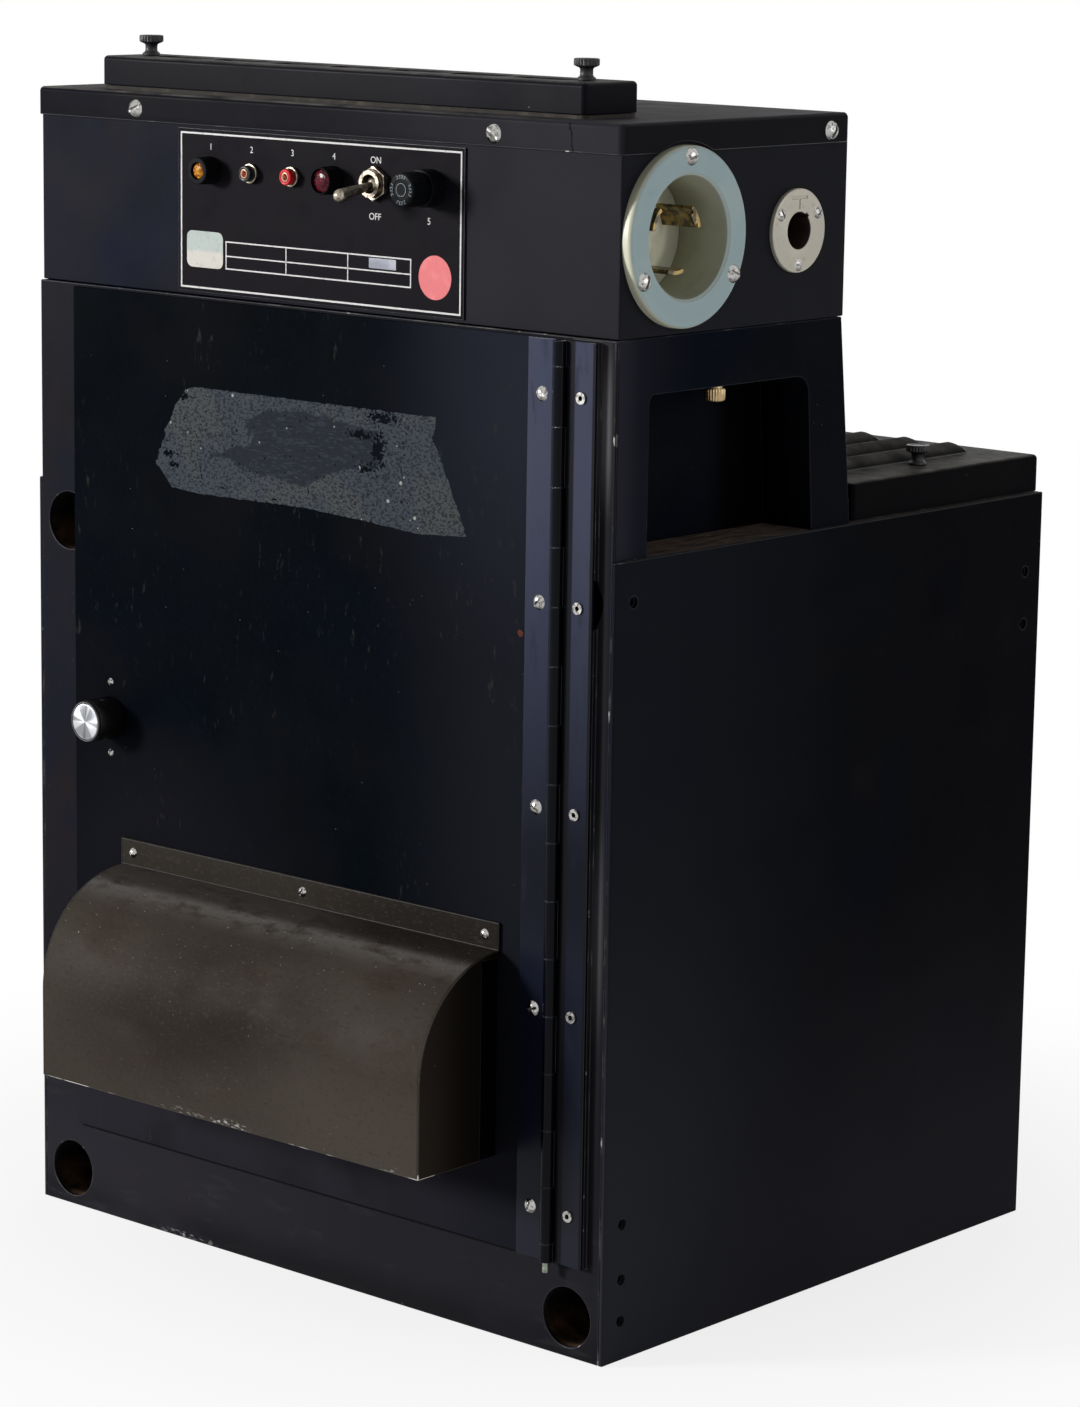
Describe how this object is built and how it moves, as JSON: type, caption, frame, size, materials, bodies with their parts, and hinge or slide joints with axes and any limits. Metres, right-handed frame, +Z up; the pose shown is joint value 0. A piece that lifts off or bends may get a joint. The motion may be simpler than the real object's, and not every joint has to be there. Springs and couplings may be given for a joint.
{
  "type": "effects projector",
  "caption": "Effects projector lamp house with hinged service door and air hood, control head with power inlet, louvred rear cover and square condenser",
  "frame": {"origin": "centre of the underside of the lower case, which rests on the surface", "axes": "+Z up, +X to the hinge and power inlet side as the operator faces the door, +Y away from the operator, where the light leaves"},
  "size_m": [0.3632, 0.3628, 0.5576],
  "materials": {
    "case_paint": "satin black paint, worn along the edges",
    "door_paint": "satin black paint",
    "inner_black": "flat black paint",
    "hood_paint": "brown-olive eggshell paint, dusty",
    "hinge_finish": "blue-black satin",
    "nickel": "bright nickel plate",
    "steel": "plain bright steel",
    "tube_steel": "bare steel, browned by rust",
    "black_oxide": "black oxide",
    "gasket_fibre": "brown fibre board",
    "black_plastic": "moulded black",
    "spun_aluminium": "spun face",
    "panel_plate": "black plate with a printed white border",
    "amber_lens": "clear amber",
    "red_lens": "clear dark red",
    "red_plastic": "moulded red",
    "nylon": "pale blue-grey nylon",
    "ivory": "moulded ivory",
    "brass": "plain brass",
    "satin_alloy": "satin grey-beige plate",
    "glass": "clear glass",
    "mirror": "polished dish",
    "ceramic": "glazed ceramic",
    "galvanised": "zinc-plated sheet",
    "aluminium": "plain aluminium",
    "motor_paint": "grey paint"
  },
  "bodies": {
    "housing": {"front_frame": "case_paint", "base_pan": "inner_black", "left_side_panel": "case_paint", "right_side_panel": "case_paint", "rear_panel": "case_paint", "rod_tubes": "tube_steel", "deck_plate": "case_paint", "neck_shell": "case_paint", "head_case": "case_paint", "head_lid": "case_paint", "lid_screws": "nickel", "vent_gasket": "gasket_fibre", "hinge_frame_leaf": "hinge_finish", "hinge_pin": "steel", "hinge_rivets": "nickel", "control_panel": "panel_plate", "pilot_bezels": "black_plastic", "amber_pilot_lens": "amber_lens", "red_pilot_lens": "red_lens", "black_test_jack": "black_plastic", "red_test_jack": "red_plastic", "panel_nuts": "nickel", "toggle_body": "steel", "fuse_holder": "black_plastic", "inlet_flange": "nylon", "inlet_insert": "ivory", "inlet_blades": "brass", "inlet_screws": "nickel", "socket_plate": "satin_alloy", "socket_screws": "nickel", "lens_frame": "inner_black", "condenser_lens": "glass", "lamp_bulb": "glass", "lamp_socket": "ceramic", "lamp_bracket": "galvanised", "reflector": "mirror", "blower_housing": "galvanised", "blower_motor": "motor_paint"},
    "door": {"door_panel": "door_paint", "hinge_door_leaf": "hinge_finish", "hinge_screws": "nickel", "air_hood": "hood_paint", "hood_collar": "inner_black", "hood_screws": "nickel", "latch_body": "steel", "latch_screws": "nickel"},
    "latch": {"latch_knob": "black_plastic", "knob_cap": "spun_aluminium", "latch_cam": "steel"},
    "toggle": {"toggle_lever": "nickel"},
    "fuse_carrier": {"fuse_cartridge": "glass"},
    "fuse_knob": {"fuse_cap": "black_plastic"},
    "vent_lid": {"vent_cover": "case_paint"},
    "vent_screw_a": {"vent_screw_left": "black_oxide"},
    "vent_screw_b": {"vent_screw_right": "black_oxide"},
    "rear_lid": {"rear_cover": "case_paint"},
    "rear_screw_a": {"rear_screw_left": "black_oxide"},
    "rear_screw_b": {"rear_screw_right": "black_oxide"},
    "brass_thumb_screw": {"brass_screw": "brass"},
    "fan": {"blower_wheel": "aluminium"}
  },
  "joints": [
    {"name": "door_swing", "type": "hinge", "parent": "housing", "child": "door", "pos_m": [0.1498, -0.1599, 0.243], "axis": [0, 0, 1], "range_deg": [0, 160]},
    {"name": "latch_turn", "type": "hinge", "parent": "door", "child": "latch", "pos_m": [-0.127, -0.157, 0.2437], "axis": [0, 1, 0], "range_deg": [0, 90]},
    {"name": "toggle_rock", "type": "hinge", "parent": "housing", "child": "toggle", "pos_m": [0.0381, -0.1542, 0.501], "axis": [-1, 0, 0], "range_deg": [0, 22]},
    {"name": "fuse_draw", "type": "slide", "parent": "housing", "child": "fuse_carrier", "axis": [0, -1, 0], "range_m": [0, 0.045]},
    {"name": "fuse_turn", "type": "hinge", "parent": "fuse_carrier", "child": "fuse_knob", "pos_m": [0.0699, -0.1536, 0.501], "axis": [0, -1, 0], "range_deg": [0, 45]},
    {"name": "vent_lift", "type": "slide", "parent": "housing", "child": "vent_lid", "axis": [0, 0, 1], "range_m": [0, 0.05]},
    {"name": "vent_screw_left_turn", "type": "hinge", "parent": "vent_lid", "child": "vent_screw_a", "pos_m": [-0.132, -0.125, 0.548], "axis": [0, 0, 1], "continuous": true},
    {"name": "vent_screw_right_turn", "type": "hinge", "parent": "vent_lid", "child": "vent_screw_b", "pos_m": [0.132, -0.125, 0.548], "axis": [0, 0, 1], "continuous": true},
    {"name": "rear_lift", "type": "slide", "parent": "housing", "child": "rear_lid", "axis": [0, 0, 1], "range_m": [0, 0.05]},
    {"name": "rear_screw_left_turn", "type": "hinge", "parent": "rear_lid", "child": "rear_screw_a", "pos_m": [-0.1573, 0.08275, 0.369], "axis": [0, 0, 1], "continuous": true},
    {"name": "rear_screw_right_turn", "type": "hinge", "parent": "rear_lid", "child": "rear_screw_b", "pos_m": [0.1573, 0.08275, 0.369], "axis": [0, 0, 1], "continuous": true},
    {"name": "brass_screw_turn", "type": "hinge", "parent": "housing", "child": "brass_thumb_screw", "pos_m": [0.162, -0.072, 0.415], "axis": [0, 0, 1], "continuous": true},
    {"name": "fan_spin", "type": "hinge", "parent": "housing", "child": "fan", "pos_m": [-0.11, -0.07, 0.08], "axis": [1, 0, 0], "continuous": true}
  ]
}
